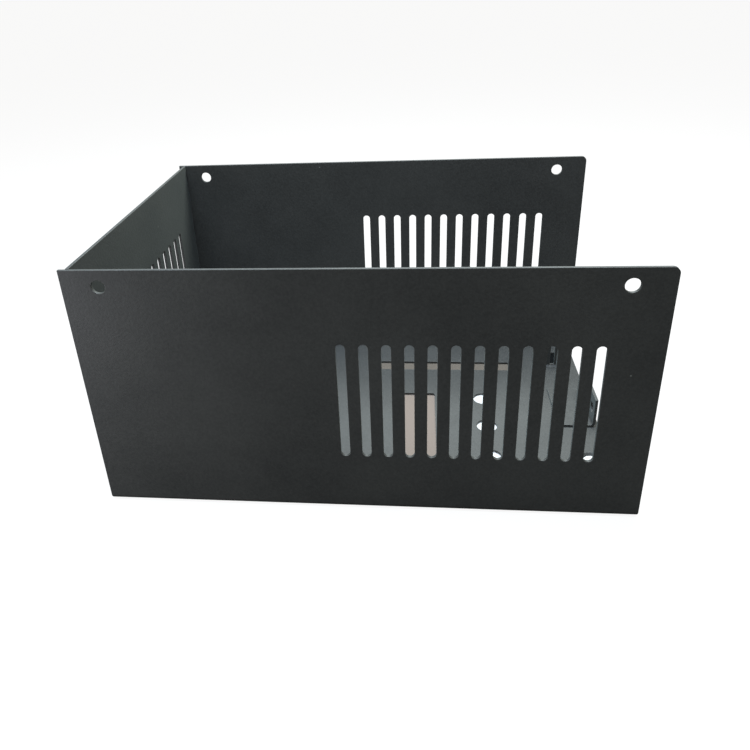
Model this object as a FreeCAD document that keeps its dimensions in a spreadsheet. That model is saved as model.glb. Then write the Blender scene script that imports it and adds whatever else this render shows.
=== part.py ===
import FreeCAD, Part
import os
import Sketcher
from FreeCAD import Vector

# Folded sheet-steel chassis for a small power supply.  One sheet makes the base, the
# two long walls and the end wall, and a small bracket is spot-welded at the open end.
# X runs along the long walls towards the open end, Y across, Z up.  The origin is the
# middle of the base's underside.

DIMENSIONS = [
    ("overall_length", 180.0, "long walls, end to end"),
    ("overall_depth", 121.0, "over the outside of the long walls"),
    ("overall_height", 89.0, "underside of the base to the top edge of the walls"),
    ("sheet_gauge", 1.0, "thickness of the chassis sheet"),
    ("bend_radius", 1.0, "inside radius of the chassis bends"),
    ("end_wall_inset", 2.0, "end wall's outer face, in from the ends of the long walls"),
    ("end_wall_gap", 0.4, "end wall's side edge to the long wall beside it"),
    ("open_end_recess", 1.6, "base's free edge, in from the ends of the long walls"),
    ("relief_width", 1.2, "corner relief, across the end wall's bend"),
    ("relief_reach", 0.8, "corner relief, beyond the bend"),
    ("top_corner_radius", 2.0, "long wall's upper corner at the open end"),
    ("foot_corner_radius", 1.5, "long wall's lower corners"),
    ("slot_width", 3.0, "ventilation slot, across"),
    ("slot_length", 42.0, "ventilation slot, over its rounded ends"),
    ("slot_height", 43.0, "middle of the slots, above the underside"),
    ("slot_pitch", 7.0, "slot to slot"),
    ("slot_count", 12, "slots in a row"),
    ("slot_row_margin", 18.0, "middle of the last slot from the open end"),
    ("cover_hole_diameter", 4.5, "cover screw hole, M4 clearance"),
    ("cover_hole_margin", 12.0, "cover screw hole from the end of the wall"),
    ("cover_hole_drop", 5.5, "cover screw hole below the top edge"),
    ("aperture_length", 60.0, "cable aperture, along the base"),
    ("aperture_width", 7.0, "cable aperture, across"),
    ("aperture_station", 60.5, "middle of the cable aperture from the open end"),
    ("aperture_offset", 32.1, "middle of the cable aperture from the centre line"),
    ("window_width", 14.0, "terminal window, along the base"),
    ("window_length", 45.0, "terminal window, across the base"),
    ("window_station", 71.5, "middle of the terminal window from the open end"),
    ("cutout_radius", 1.0, "corners of the aperture and the window"),
    ("post_hole_diameter", 8.0, "binding post hole"),
    ("post_pitch", 19.05, "binding posts, three quarters of an inch apart"),
    ("post_station", 44.5, "row of binding posts from the open end"),
    ("terminal_offset", 13.1, "middle of the window and post row from the centre line"),
    ("fixing_diameter", 6.0, "countersunk fixing hole, through"),
    ("fixing_sink_diameter", 7.6, "countersunk fixing hole, at the upper face"),
    ("fixing_station", 8.5, "countersunk fixing hole from the open end"),
    ("fixing_offset", 32.2, "countersunk fixing hole from the centre line"),
    ("lug_width", 10.0, "lanced lug, along the base"),
    ("lug_height", 13.0, "lanced lug, above the underside"),
    ("lug_station", 12.0, "middle of the lug from the open end"),
    ("lug_offset", 33.0, "lug's inner face from the centre line"),
    ("lug_kerf", 0.6, "cut left open on each side of the lug"),
    ("lug_notch_width", 1.8, "slot between the lug's prongs, for a board's edge"),
    ("lug_notch_floor", 1.8, "lower end of that slot, above the underside"),
    ("bracket_gauge", 1.0, "thickness of the end bracket"),
    ("bracket_bend_radius", 1.2, "inside radius of the bracket's bend"),
    ("bracket_width", 26.0, "end bracket, across the base"),
    ("bracket_foot", 14.0, "end bracket's foot, over the bend"),
    ("bracket_rise", 12.5, "end bracket above the base"),
    ("bracket_setback", 1.6, "bracket's outer face, in from the base's free edge"),
    ("bracket_hole_diameter", 4.0, "screw hole in the bracket"),
    ("bracket_hole_spacing", 18.0, "screw holes in the bracket, apart"),
    ("bracket_hole_rise", 6.8, "screw holes in the bracket, above the base"),
    ("overcut", 2.0, "how far an open cut runs past the metal"),
]


class Size:
    """A number together with the formula that ties it to the sheet."""

    def __init__(self, value, formula):
        self.value = value
        self.formula = formula

    def __add__(self, other):
        return Size(self.value + other.value, f"({self.formula} + {other.formula})")

    def __sub__(self, other):
        return Size(self.value - other.value, f"({self.formula} - {other.formula})")

    def __mul__(self, factor):
        return Size(self.value * factor, f"({self.formula} * {factor})")

    def __truediv__(self, divisor):
        return Size(self.value / divisor, f"({self.formula} / {divisor})")

    def __neg__(self):
        return Size(-self.value, f"(-1 * {self.formula})")


document = FreeCAD.newDocument("sheet_metal_chassis")
sheet = document.addObject("Spreadsheet::Sheet", "dimensions")
dim = {}
for row, (alias, number, note) in enumerate(DIMENSIONS, start=1):
    sheet.set(f"A{row}", note)
    sheet.set(f"B{row}", str(number))
    sheet.setAlias(f"B{row}", alias)
    dim[alias] = Size(number, f"<<dimensions>>.{alias}")
document.recompute()


def new_body(name):
    body = document.addObject("PartDesign::Body", name)
    body.Label = name
    return body


def origin_feature(body, role):
    return next(item for item in body.Origin.OriginFeatures if item.Role == role)


def new_sketch(body, name, role, away=None):
    """Sketch on one of the body's origin planes, or `away` along that plane's normal."""
    sketch = body.newObject("Sketcher::SketchObject", name)
    sketch.AttachmentSupport = [(origin_feature(body, role), "")]
    sketch.MapMode = "FlatFace"
    if away:
        sketch.setExpression("AttachmentOffset.Base.z", away.formula)
    return sketch


def bind(sketch, kind, *where, size):
    index = sketch.addConstraint(Sketcher.Constraint(kind, *where, size.value))
    sketch.setExpression(f"Constraints[{index}]", size.formula)


def hold(sketch, kind, geometry, point, size):
    """Hold a point at a signed distance from an axis, or on the axis for no size.

    A sketch numbers its level axis -1, its upright axis -2 and its origin point 1 of -1.
    """
    if size:
        bind(sketch, kind, -1, 1, geometry, point, size=size)
    elif kind == "DistanceX":
        sketch.addConstraint(Sketcher.Constraint("PointOnObject", geometry, point, -2))
    else:
        sketch.addConstraint(Sketcher.Constraint("PointOnObject", geometry, point, -1))


def number_of(size):
    return size.value if size else 0.0


def outline(sketch, corners):
    """Close level and upright lines through corners (x, y) or, if rounded, (x, y, radius)."""
    points = [Vector(number_of(corner[0]), number_of(corner[1]), 0) for corner in corners]
    radii = [corner[2] if len(corner) > 2 else None for corner in corners]
    ahead = [(points[i + 1 - len(points)] - p).normalize() for i, p in enumerate(points)]
    starts = [p + a * number_of(r) for p, a, r in zip(points, ahead, radii)]
    ends = [p - ahead[i - 1] * number_of(radii[i]) for i, p in enumerate(points)]
    lines = []
    for i, corner in enumerate(corners):
        end = ends[i + 1 - len(points)]
        line = sketch.addGeometry(Part.LineSegment(starts[i], end), False)
        level = abs(ahead[i].x) > abs(ahead[i].y)
        sketch.addConstraint(Sketcher.Constraint("Horizontal" if level else "Vertical", line))
        hold(sketch, "DistanceY" if level else "DistanceX", line, 1, corner[1 if level else 0])
        lines.append(line)
    for i, radius in enumerate(radii):
        before, after = lines[i - 1], lines[i]
        if not radius:
            sketch.addConstraint(Sketcher.Constraint("Coincident", before, 2, after, 1))
            continue
        centre = ends[i] + starts[i] - points[i]
        middle = centre + (points[i] - centre).normalize() * radius.value
        arc = sketch.addGeometry(Part.Arc(ends[i], middle, starts[i]), False)
        turns_left = ahead[i - 1].cross(ahead[i]).z > 0
        first, last = (1, 2) if turns_left else (2, 1)
        sketch.addConstraint(Sketcher.Constraint("Tangent", before, 2, arc, first))
        sketch.addConstraint(Sketcher.Constraint("Tangent", arc, last, after, 1))
        bind(sketch, "Radius", arc, size=radius)


def rectangle(sketch, left, right, low, high, radius=None):
    corners = [(left, low), (right, low), (right, high), (left, high)]
    outline(sketch, [(x, y, radius) for x, y in corners])


def circle(sketch, x, y, diameter):
    centre = Vector(number_of(x), number_of(y), 0)
    ring = sketch.addGeometry(Part.Circle(centre, Vector(0, 0, 1), diameter.value / 2), False)
    hold(sketch, "DistanceX", ring, 3, x)
    hold(sketch, "DistanceY", ring, 3, y)
    bind(sketch, "Diameter", ring, size=diameter)


def upright_slot(sketch, x, y, width, length):
    """Slot with full-round ends, its length along the sketch's Y axis."""
    half = width.value / 2
    reach = (length - width) / 2
    ends = []
    for side, first, last in ((1, 0.0, 180.0), (-1, 180.0, 360.0)):
        centre = Vector(x.value, y.value + side * reach.value, 0)
        whole = Part.Circle(centre, Vector(0, 0, 1), half)
        turn = [angle * 3.141592653589793 / 180.0 for angle in (first, last)]
        end = sketch.addGeometry(Part.ArcOfCircle(whole, *turn), False)
        hold(sketch, "DistanceX", end, 3, x)
        hold(sketch, "DistanceY", end, 3, y + reach * side)
        ends.append(end)
    top, foot = ends
    for side, high, low in ((1, 1, 2), (-1, 2, 1)):
        upper = Vector(x.value + side * half, y.value + reach.value, 0)
        lower = Vector(x.value + side * half, y.value - reach.value, 0)
        line = sketch.addGeometry(Part.LineSegment(upper, lower), False)
        sketch.addConstraint(Sketcher.Constraint("Tangent", top, high, line, 1))
        sketch.addConstraint(Sketcher.Constraint("Tangent", line, 2, foot, low))
    bind(sketch, "Radius", top, size=width / 2)


def extrude(body, kind, name, sketch, length=None, both_ways=False):
    """Pad or pocket a sketch, through everything for no length, and see that it took."""
    before = body.Shape.Volume if body.Tip else 0.0
    feature = body.newObject(f"PartDesign::{kind}", name)
    feature.Profile = sketch
    feature.SideType = "Symmetric" if both_ways else "One side"
    if length:
        feature.setExpression("Length", length.formula)
    else:
        feature.Type = "ThroughAll"
    document.recompute()
    change = body.Shape.Volume - before
    if (change if kind == "Pad" else -change) < 0.01:
        raise RuntimeError(f"{name} changed the volume by {change:.3f}")
    return feature


def repeat(body, name, feature, role, spacing, count, backwards=False):
    pattern = body.newObject("PartDesign::LinearPattern", name)
    pattern.Originals = [feature]
    pattern.Direction = (origin_feature(body, role), [""])
    pattern.Reversed = backwards
    pattern.Mode = "Spacing"
    pattern.setExpression("Offset", spacing.formula)
    pattern.setExpression("Occurrences", count.formula)
    body.Tip = pattern
    document.recompute()


half_length = dim["overall_length"] / 2
half_depth = dim["overall_depth"] / 2
height = dim["overall_height"]
gauge = dim["sheet_gauge"]
inner_bend = dim["bend_radius"]
outer_bend = inner_bend + gauge
overcut = dim["overcut"]

# Chassis: base and long walls as one channel-shaped fold along X.
chassis = new_body("chassis")
channel_profile = new_sketch(chassis, "channel_profile", "YZ_Plane")
inner_depth = half_depth - gauge
outline(channel_profile, [
    (-half_depth, None, outer_bend),
    (half_depth, None, outer_bend),
    (half_depth, height),
    (inner_depth, height),
    (inner_depth, gauge, inner_bend),
    (-inner_depth, gauge, inner_bend),
    (-inner_depth, height),
    (-half_depth, height),
])
extrude(chassis, "Pad", "channel", channel_profile, dim["overall_length"], both_ways=True)

# The base stops short of the walls at the open end.  At the closed end it stops where
# the end wall's bend starts, with a relief cut beside each long wall.
end_face = -half_length + dim["end_wall_inset"]
bend_line = end_face + outer_bend
relief_line = bend_line + dim["relief_reach"]
flat_half = half_depth - outer_bend
end_fold_half = flat_half - dim["relief_width"]
far_left = -half_length - overcut
base_trim = new_sketch(chassis, "base_trim", "XY_Plane")
base_edge = half_length - dim["open_end_recess"]
rectangle(base_trim, base_edge, half_length + overcut, -flat_half, flat_half)
outline(base_trim, [
    (far_left, -flat_half),
    (relief_line, -flat_half),
    (relief_line, -end_fold_half),
    (bend_line, -end_fold_half),
    (bend_line, end_fold_half),
    (relief_line, end_fold_half),
    (relief_line, flat_half),
    (far_left, flat_half),
])
extrude(chassis, "Pocket", "base_ends", base_trim, both_ways=True)

# End wall: the bend across the width between the reliefs, then the full-width plate.
end_fold_profile = new_sketch(chassis, "end_fold_profile", "XZ_Plane")
outline(end_fold_profile, [
    (end_face, None, outer_bend),
    (bend_line + gauge, None),
    (bend_line + gauge, gauge),
    (end_face + gauge, gauge, inner_bend),
    (end_face + gauge, height),
    (end_face, height),
])
extrude(chassis, "Pad", "end_fold", end_fold_profile, end_fold_half * 2, both_ways=True)
end_plate_profile = new_sketch(chassis, "end_plate_profile", "YZ_Plane", away=end_face)
plate_half = inner_depth - dim["end_wall_gap"]
plate_foot = outer_bend + dim["relief_reach"]
rectangle(end_plate_profile, -plate_half, plate_half, plate_foot, height)
extrude(chassis, "Pad", "end_plate", end_plate_profile, gauge)

# Everything outside the long walls' side view goes, which rounds their corners.
side_view = new_sketch(chassis, "side_view", "XZ_Plane")
rectangle(side_view, far_left, half_length + overcut, -overcut, height + overcut)
outline(side_view, [
    (-half_length, None, dim["foot_corner_radius"]),
    (half_length, None, dim["foot_corner_radius"]),
    (half_length, height, dim["top_corner_radius"]),
    (-half_length, height),
])
extrude(chassis, "Pocket", "wall_corners", side_view, both_ways=True)

# Ventilation slots: one row cut through both long walls, one through the end wall.
side_slot = new_sketch(chassis, "side_slot", "XZ_Plane")
slot_size = (dim["slot_height"], dim["slot_width"], dim["slot_length"])
upright_slot(side_slot, half_length - dim["slot_row_margin"], *slot_size)
last_slot = extrude(chassis, "Pocket", "last_side_slot", side_slot, both_ways=True)
slot_row = (dim["slot_pitch"], dim["slot_count"])
repeat(chassis, "side_slots", last_slot, "X_Axis", *slot_row, backwards=True)
end_slot = new_sketch(chassis, "end_slot", "YZ_Plane")
row_value = dim["slot_pitch"].value * (dim["slot_count"].value - 1)
row_formula = f"({dim['slot_pitch'].formula} * ({dim['slot_count'].formula} - 1))"
row_length = Size(row_value, row_formula)
upright_slot(end_slot, -row_length / 2, *slot_size)
first_slot = extrude(chassis, "Pocket", "first_end_slot", end_slot, both_ways=True)
repeat(chassis, "end_slots", first_slot, "Y_Axis", *slot_row)

# Cover screw holes, near the upper corners of both long walls.
cover_holes = new_sketch(chassis, "cover_holes", "XZ_Plane")
cover_x = half_length - dim["cover_hole_margin"]
cover_z = height - dim["cover_hole_drop"]
for x in (-cover_x, cover_x):
    circle(cover_holes, x, cover_z, dim["cover_hole_diameter"])
extrude(chassis, "Pocket", "cover_screw_holes", cover_holes, both_ways=True)

# Base: cable aperture, terminal window and the row of binding post holes.
cutouts = new_sketch(chassis, "cutouts", "XY_Plane")
aperture_x = half_length - dim["aperture_station"]
aperture_y = dim["aperture_offset"]
window_x = half_length - dim["window_station"]
terminal_y = -dim["terminal_offset"]
for x, y, across, along in (
    (aperture_x, aperture_y, dim["aperture_length"] / 2, dim["aperture_width"] / 2),
    (window_x, terminal_y, dim["window_width"] / 2, dim["window_length"] / 2),
):
    rectangle(cutouts, x - across, x + across, y - along, y + along, dim["cutout_radius"])
post_x = half_length - dim["post_station"]
for y in (terminal_y - dim["post_pitch"], terminal_y, terminal_y + dim["post_pitch"]):
    circle(cutouts, post_x, y, dim["post_hole_diameter"])
extrude(chassis, "Pocket", "base_cutouts", cutouts, both_ways=True)

# Countersunk fixing hole beside the open end.
fixing = new_sketch(chassis, "fixing", "XY_Plane")
fixing_x = half_length - dim["fixing_station"]
fixing_y = -dim["fixing_offset"]
circle(fixing, fixing_x, fixing_y, dim["fixing_diameter"])
fixing_hole = extrude(chassis, "Pocket", "fixing_hole", fixing, both_ways=True)
fixing_rim = Vector(fixing_x.value, fixing_y.value, gauge.value)
rim_edges = [
    f"Edge{number}"
    for number, edge in enumerate(fixing_hole.Shape.Edges, start=1)
    if isinstance(edge.Curve, Part.Circle) and edge.Curve.Center.isEqual(fixing_rim, 1e-6)
]
countersink = chassis.newObject("PartDesign::Chamfer", "fixing_countersink")
countersink.Base = (fixing_hole, rim_edges)
sink_depth = (dim["fixing_sink_diameter"] - dim["fixing_diameter"]) / 2
countersink.setExpression("Size", sink_depth.formula)
document.recompute()

# Lug lanced from the base and bent up, with the opening that its metal came from.
lug_x = half_length - dim["lug_station"]
lug_half = dim["lug_width"] / 2
lug_face = dim["lug_offset"]
lug_back = lug_face + gauge
lug_fold = lug_face - inner_bend
lug_root = lug_fold - dim["relief_reach"]
lug_opening = new_sketch(chassis, "lug_opening", "XY_Plane")
kerf_half = lug_half + dim["lug_kerf"]
lug_reach = lug_fold + dim["lug_height"]
rectangle(lug_opening, lug_x - kerf_half, lug_x + kerf_half, lug_root, lug_reach)
extrude(chassis, "Pocket", "lug_window", lug_opening, both_ways=True)
lug_profile = new_sketch(chassis, "lug_profile", "YZ_Plane", away=lug_x)
outline(lug_profile, [
    (lug_root - gauge, None),
    (lug_back, None, outer_bend),
    (lug_back, dim["lug_height"]),
    (lug_face, dim["lug_height"]),
    (lug_face, gauge, inner_bend),
    (lug_root - gauge, gauge),
])
extrude(chassis, "Pad", "lug", lug_profile, dim["lug_width"], both_ways=True)
lug_notch = new_sketch(chassis, "lug_notch", "XZ_Plane", away=-lug_face - gauge / 2)
notch_half = dim["lug_notch_width"] / 2
notch_top = dim["lug_height"] + overcut
rectangle(lug_notch, lug_x - notch_half, lug_x + notch_half, dim["lug_notch_floor"], notch_top)
extrude(chassis, "Pocket", "lug_slot", lug_notch, gauge * 4, both_ways=True)

# End bracket: a short angle that stands on the base inside the open end.
end_bracket = new_body("end_bracket")
angle_profile = new_sketch(end_bracket, "angle_profile", "XZ_Plane")
bracket_gauge = dim["bracket_gauge"]
bracket_bend = dim["bracket_bend_radius"]
bracket_face = base_edge - dim["bracket_setback"]
bracket_toe = bracket_face - dim["bracket_foot"]
bracket_top = gauge + dim["bracket_rise"]
outline(angle_profile, [
    (bracket_toe, gauge),
    (bracket_face, gauge, bracket_bend + bracket_gauge),
    (bracket_face, bracket_top),
    (bracket_face - bracket_gauge, bracket_top),
    (bracket_face - bracket_gauge, gauge + bracket_gauge, bracket_bend),
    (bracket_toe, gauge + bracket_gauge),
])
extrude(end_bracket, "Pad", "angle", angle_profile, dim["bracket_width"], both_ways=True)
screw_holes = new_sketch(end_bracket, "screw_holes", "YZ_Plane")
screw_y = dim["bracket_hole_spacing"] / 2
for y in (-screw_y, screw_y):
    circle(screw_holes, y, gauge + dim["bracket_hole_rise"], dim["bracket_hole_diameter"])
extrude(end_bracket, "Pocket", "bracket_screw_holes", screw_holes, both_ways=True)

for item in document.Objects:
    if "Invalid" in item.State or "Error" in item.State:
        raise RuntimeError(f"{item.Name} failed: {item.State}")
os.makedirs("parts", exist_ok=True)
for body in (chassis, end_bracket):
    shape = body.Shape
    if shape.isNull() or not shape.isValid() or len(shape.Solids) != 1:
        raise RuntimeError(f"{body.Label} is not one valid solid")
    print(f"{body.Label}: {shape.Volume:.1f} mm3, {len(shape.Faces)} faces, {shape.BoundBox}")
    shape.exportStep(f"parts/{body.Label}.step")
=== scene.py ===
import math
import bpy
from mathutils import Euler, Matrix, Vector

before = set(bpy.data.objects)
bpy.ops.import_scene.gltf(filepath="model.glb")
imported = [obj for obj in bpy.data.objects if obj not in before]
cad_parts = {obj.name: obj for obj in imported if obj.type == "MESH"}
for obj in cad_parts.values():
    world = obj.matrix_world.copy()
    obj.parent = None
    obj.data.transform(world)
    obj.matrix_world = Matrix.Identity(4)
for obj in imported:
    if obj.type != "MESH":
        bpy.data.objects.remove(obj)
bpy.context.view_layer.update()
print("frame loaded:", ", ".join(sorted(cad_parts)))


def mm(length):
    return length / 1000.0


def mmPoint(point):
    return Vector([mm(value) for value in point])


def linearColour(hexCode):
    # sRGB hex to linear light, channel by channel
    channels = [int(hexCode[i:i + 2], 16) / 255.0 for i in (1, 3, 5)]
    curve = [c / 12.92 if c <= 0.04045 else ((c + 0.055) / 1.055) ** 2.4 for c in channels]
    return (*curve, 1.0)


def addNode(tree, kind, settings=None, values=None, links=None):
    # settings are the node's own options, values its unlinked sockets, links the rest
    node = tree.nodes.new(kind)
    for name, value in (settings or {}).items():
        setattr(node, name, value)
    for name, value in (values or {}).items():
        node.inputs[name].default_value = value
    for name, source in (links or {}).items():
        tree.links.new(source, node.inputs[name])
    return node


def newMaterial(name):
    material = bpy.data.materials.new(name)
    material.use_nodes = True
    material.node_tree.nodes.clear()
    return material, material.node_tree


# Thermoset powder coat on steel: baked on as a dry powder, so it cures to a satin
# black skin with a fine orange peel and holds pale dust. Its cut edges are painted paler, partly
# for the coat thinning there and partly as a painted highlight.
coat = {
    "deepHex": "#2c2c2a",
    "paleHex": "#434340",
    # edge colour: thinner coat at the cut edges together with a painted highlight
    "edgeHex": "#62625d",
    "dustHex": "#8f9088",
    "patch": 38.0,              # mm, slow change of shade across a wall
    "grain": 0.8,               # mm, cured powder grains, drawn coarse enough to show
    "grainDepth": 0.12,         # mm
    "peel": 3.2,                # mm, orange peel
    "peelDepth": 0.03,          # mm
    "mottle": (0.6, 1.4),       # patch and grain together, from deepest to palest
    "bump": 0.6,                # strength of peel and grain
    "edgeRadius": 0.3,          # mm, how far the coat rounds a cut edge
    "edgeFacing": (0.99, 0.85), # cosines between which a rounded edge turns pale: thinner coat and painted highlight
    "roughLow": 0.5,
    "roughHigh": 0.62,
    "ior": 1.5,
    "sheen": 0.12,
    "sheenRoughness": 0.4,
    "sheenHex": "#d2e2de",
    "dustCell": 14.0,           # mm, spacing of the specks
    "dustSize": 0.35,           # mm
}


def powderCoat(look):
    material, tree = newMaterial("powder_coat_on_steel")
    place = addNode(tree, "ShaderNodeTexCoord").outputs["Object"]
    patch = addNode(tree, "ShaderNodeTexNoise", values={
        "Scale": 1.0 / mm(look["patch"]), "Detail": 3.0, "Roughness": 0.6}, links={"Vector": place})
    grain = addNode(tree, "ShaderNodeTexNoise", values={
        "Scale": 1.0 / mm(look["grain"]), "Detail": 3.0, "Roughness": 0.6}, links={"Vector": place})
    peel = addNode(tree, "ShaderNodeTexNoise", values={
        "Scale": 1.0 / mm(look["peel"]), "Detail": 1.0, "Roughness": 0.4}, links={"Vector": place})
    rounded = addNode(tree, "ShaderNodeBevel", {"samples": 6}, {"Radius": mm(look["edgeRadius"])})
    peelBump = addNode(tree, "ShaderNodeBump", values={
        "Strength": look["bump"], "Distance": mm(look["peelDepth"])},
        links={"Height": peel.outputs["Fac"], "Normal": rounded.outputs["Normal"]})
    grainBump = addNode(tree, "ShaderNodeBump", values={
        "Strength": look["bump"], "Distance": mm(look["grainDepth"])},
        links={"Height": grain.outputs["Fac"], "Normal": peelBump.outputs["Normal"]})
    mottle = addNode(tree, "ShaderNodeMath", {"operation": "ADD"}, links={
        0: patch.outputs["Fac"], 1: grain.outputs["Fac"]})
    blend = addNode(tree, "ShaderNodeMapRange", values={
        "From Min": look["mottle"][0], "From Max": look["mottle"][1]},
        links={"Value": mottle.outputs["Value"]})
    shade = addNode(tree, "ShaderNodeMix", {"data_type": "RGBA"}, {
        6: linearColour(look["deepHex"]), 7: linearColour(look["paleHex"])},
        {0: blend.outputs["Result"]})
    flat = addNode(tree, "ShaderNodeNewGeometry")
    facing = addNode(tree, "ShaderNodeVectorMath", {"operation": "DOT_PRODUCT"}, links={
        0: rounded.outputs["Normal"], 1: flat.outputs["Normal"]})
    edge = addNode(tree, "ShaderNodeMapRange", {"interpolation_type": "SMOOTHSTEP"}, {
        "From Min": look["edgeFacing"][0], "From Max": look["edgeFacing"][1]},
        {"Value": facing.outputs["Value"]})
    # rounded edges painted paler: partly thinner coat, partly a painted highlight on the rims
    wornAndHighlit = addNode(tree, "ShaderNodeMix", {"data_type": "RGBA"}, {
        7: linearColour(look["edgeHex"])}, {0: edge.outputs["Result"], 6: shade.outputs[2]})
    cells = addNode(tree, "ShaderNodeTexVoronoi", values={
        "Scale": 1.0 / mm(look["dustCell"])}, links={"Vector": place})
    speck = addNode(tree, "ShaderNodeMapRange", values={
        "From Min": look["dustSize"] / look["dustCell"], "From Max": 0.0},
        links={"Value": cells.outputs["Distance"]})
    dusty = addNode(tree, "ShaderNodeMix", {"data_type": "RGBA"}, {
        7: linearColour(look["dustHex"])}, {0: speck.outputs["Result"], 6: wornAndHighlit.outputs[2]})
    rough = addNode(tree, "ShaderNodeMapRange", values={
        "To Min": look["roughLow"], "To Max": look["roughHigh"]},
        links={"Value": grain.outputs["Fac"]})
    skin = addNode(tree, "ShaderNodeBsdfPrincipled", values={
        "Metallic": 0.0, "IOR": look["ior"], "Sheen Weight": look["sheen"],
        "Sheen Roughness": look["sheenRoughness"],
        "Sheen Tint": linearColour(look["sheenHex"])}, links={
        "Base Color": dusty.outputs[2], "Roughness": rough.outputs["Result"],
        "Normal": grainBump.outputs["Normal"]})
    addNode(tree, "ShaderNodeOutputMaterial", links={"Surface": skin.outputs["BSDF"]})
    return material


coatMaterial = powderCoat(coat)
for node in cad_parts.values():
    for materialSlot in node.material_slots:
        materialSlot.material = coatMaterial
print("powder coat on", len(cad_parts), "nodes")

# Studio: a pale board, cards between it and the base that carry painted shade, and a white room
# round them.
studio = {
    "boardHex": "#565452",   # board as the light that bounces off it sees it
    "boardReach": 40.0,      # m
    "boardDrop": 0.06,       # mm below the base, so that the two never touch
    "boardWhite": 0.915,     # white that only the camera sees
    "cardDrop": 0.03,        # mm
    "skyHex": "#e8e6dc",     # soft light from all round
    "skyLevel": 0.4,
    "wallHex": "#ffffff",    # the room as the camera sees it
    "wallLevel": 1.0,
}

# What shows through each opening of the base: corners in mm and a colour. The cards stand for the
# cream table under the base with painted shade, darker under the aperture by the far wall and near
# black under the lug; the card under the posts is palest.
cards = {
    # darker cream: the table's colour with painted shade near the far wall
    "shade_under_aperture": {"low": (-8, 24), "high": (66, 44), "hex": "#645c53"},
    "under_window": {"low": (4, -40), "high": (32, 24), "hex": "#796d64"},
    "under_posts": {"low": (32, -54), "high": (88, 24), "hex": "#c9c6c2"},
    # near-black card that paints the shade seen through the lug's slit
    "shade_under_lug": {"low": (70, 26), "high": (88, 54), "hex": "#141515"},
}


def flatSheet(name, material, low, high, drop):
    mesh = bpy.data.meshes.new(name)
    mesh.from_pydata([(low[0], low[1], -drop), (high[0], low[1], -drop),
                      (high[0], high[1], -drop), (low[0], high[1], -drop)], [], [(0, 1, 2, 3)])
    mesh.materials.append(material)
    sheet = bpy.data.objects.new(name, mesh)
    bpy.context.collection.objects.link(sheet)


def paleBoard(look):
    material, tree = newMaterial("matt_white_board")
    matt = addNode(tree, "ShaderNodeBsdfDiffuse", values={"Color": linearColour(look["boardHex"])})
    path = addNode(tree, "ShaderNodeLightPath")
    white = addNode(tree, "ShaderNodeMath", {"operation": "MULTIPLY"}, {
        1: look["boardWhite"]}, {0: path.outputs["Is Camera Ray"]})
    glow = addNode(tree, "ShaderNodeEmission", links={"Strength": white.outputs["Value"]})
    both = addNode(tree, "ShaderNodeAddShader", links={0: matt.outputs[0], 1: glow.outputs[0]})
    addNode(tree, "ShaderNodeOutputMaterial", links={"Surface": both.outputs[0]})
    reach = look["boardReach"]
    flatSheet("board", material, (-reach, -reach), (reach, reach), mm(look["boardDrop"]))


def colourCard(name, look, drop):
    material, tree = newMaterial("paper_" + name)
    matt = addNode(tree, "ShaderNodeBsdfDiffuse", values={"Color": linearColour(look["hex"])})
    addNode(tree, "ShaderNodeOutputMaterial", links={"Surface": matt.outputs[0]})
    low, high = ([mm(side) for side in look[end]] for end in ("low", "high"))
    flatSheet(name, material, low, high, mm(drop))


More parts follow.
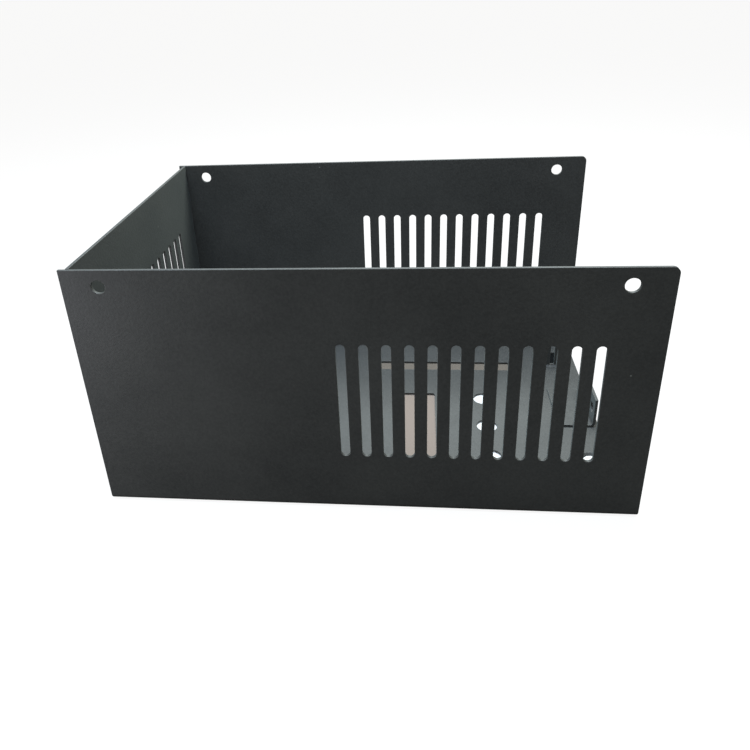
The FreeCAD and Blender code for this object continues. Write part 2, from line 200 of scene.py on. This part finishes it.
def whiteRoom(look):
    world = bpy.data.worlds.new("white_room")
    bpy.context.scene.world = world
    world.use_nodes = True
    tree = world.node_tree
    tree.nodes.clear()
    path = addNode(tree, "ShaderNodeLightPath")
    sky = addNode(tree, "ShaderNodeBackground", values={
        "Color": linearColour(look["skyHex"]), "Strength": look["skyLevel"]})
    wall = addNode(tree, "ShaderNodeBackground", values={
        "Color": linearColour(look["wallHex"]), "Strength": look["wallLevel"]})
    room = addNode(tree, "ShaderNodeMixShader", links={
        0: path.outputs["Is Camera Ray"], 1: sky.outputs[0], 2: wall.outputs[0]})
    addNode(tree, "ShaderNodeOutputWorld", links={"Surface": room.outputs[0]})


paleBoard(studio)
for name, look in cards.items():
    colourCard(name, look, studio["cardDrop"])
whiteRoom(studio)
print("studio built")

# Lamps: place and aim in mm, size in mm, brightness as the lamp's own radiance.
lamps = {
    "bench_lamp": {"at": (-90, -60, 560), "aim": (20, -10, 0), "size": (420, 240),
                   "level": 18.5, "hex": "#d8eaff"},
    "left_window": {"at": (-175, -130, 45), "aim": (-90, -60, 40), "size": (80, 80),
                    "level": 4.5, "hex": "#f4f6ff"},
    "back_lamp": {"at": (80, 190, 430), "aim": (40, 0, 0), "size": (300, 160),
                  "level": 19.0, "hex": "#f2fbf8"},
}


def softLamp(name, look):
    # radiance of a flat lamp is power / (area * pi), so power is level * area * pi
    width, depth = (mm(side) for side in look["size"])
    light = bpy.data.lights.new(name, "AREA")
    light.shape = "RECTANGLE"
    light.size, light.size_y = width, depth
    light.energy = look["level"] * width * depth * math.pi
    light.color = linearColour(look["hex"])[:3]
    lamp = bpy.data.objects.new(name, light)
    bpy.context.collection.objects.link(lamp)
    at, aim = mmPoint(look["at"]), mmPoint(look["aim"])
    lamp.location = at
    lamp.rotation_euler = (aim - at).to_track_quat("-Z", "Y").to_euler()
    lamp.visible_camera = False


for name, look in lamps.items():
    softLamp(name, look)
print("lamps:", len(lamps))

view = {
    "at": (19.1, -242.8, 167.3),          # mm
    "turn": (1.12068, 0.05219, 0.10647),  # radians about X, Y and Z
    "lens": 33.27,                        # mm
    "shift": (0.0507, -0.0979),
    "clipStart": 1.0,                     # mm
}
camera = bpy.data.objects.new("camera", bpy.data.cameras.new("camera"))
bpy.context.collection.objects.link(camera)
camera.location = mmPoint(view["at"])
camera.rotation_euler = Euler(view["turn"])
camera.data.lens = view["lens"]
camera.data.shift_x, camera.data.shift_y = view["shift"]
camera.data.clip_start = mm(view["clipStart"])
bpy.context.scene.camera = camera
bpy.context.scene.view_settings.view_transform = "Standard"
print("camera placed")
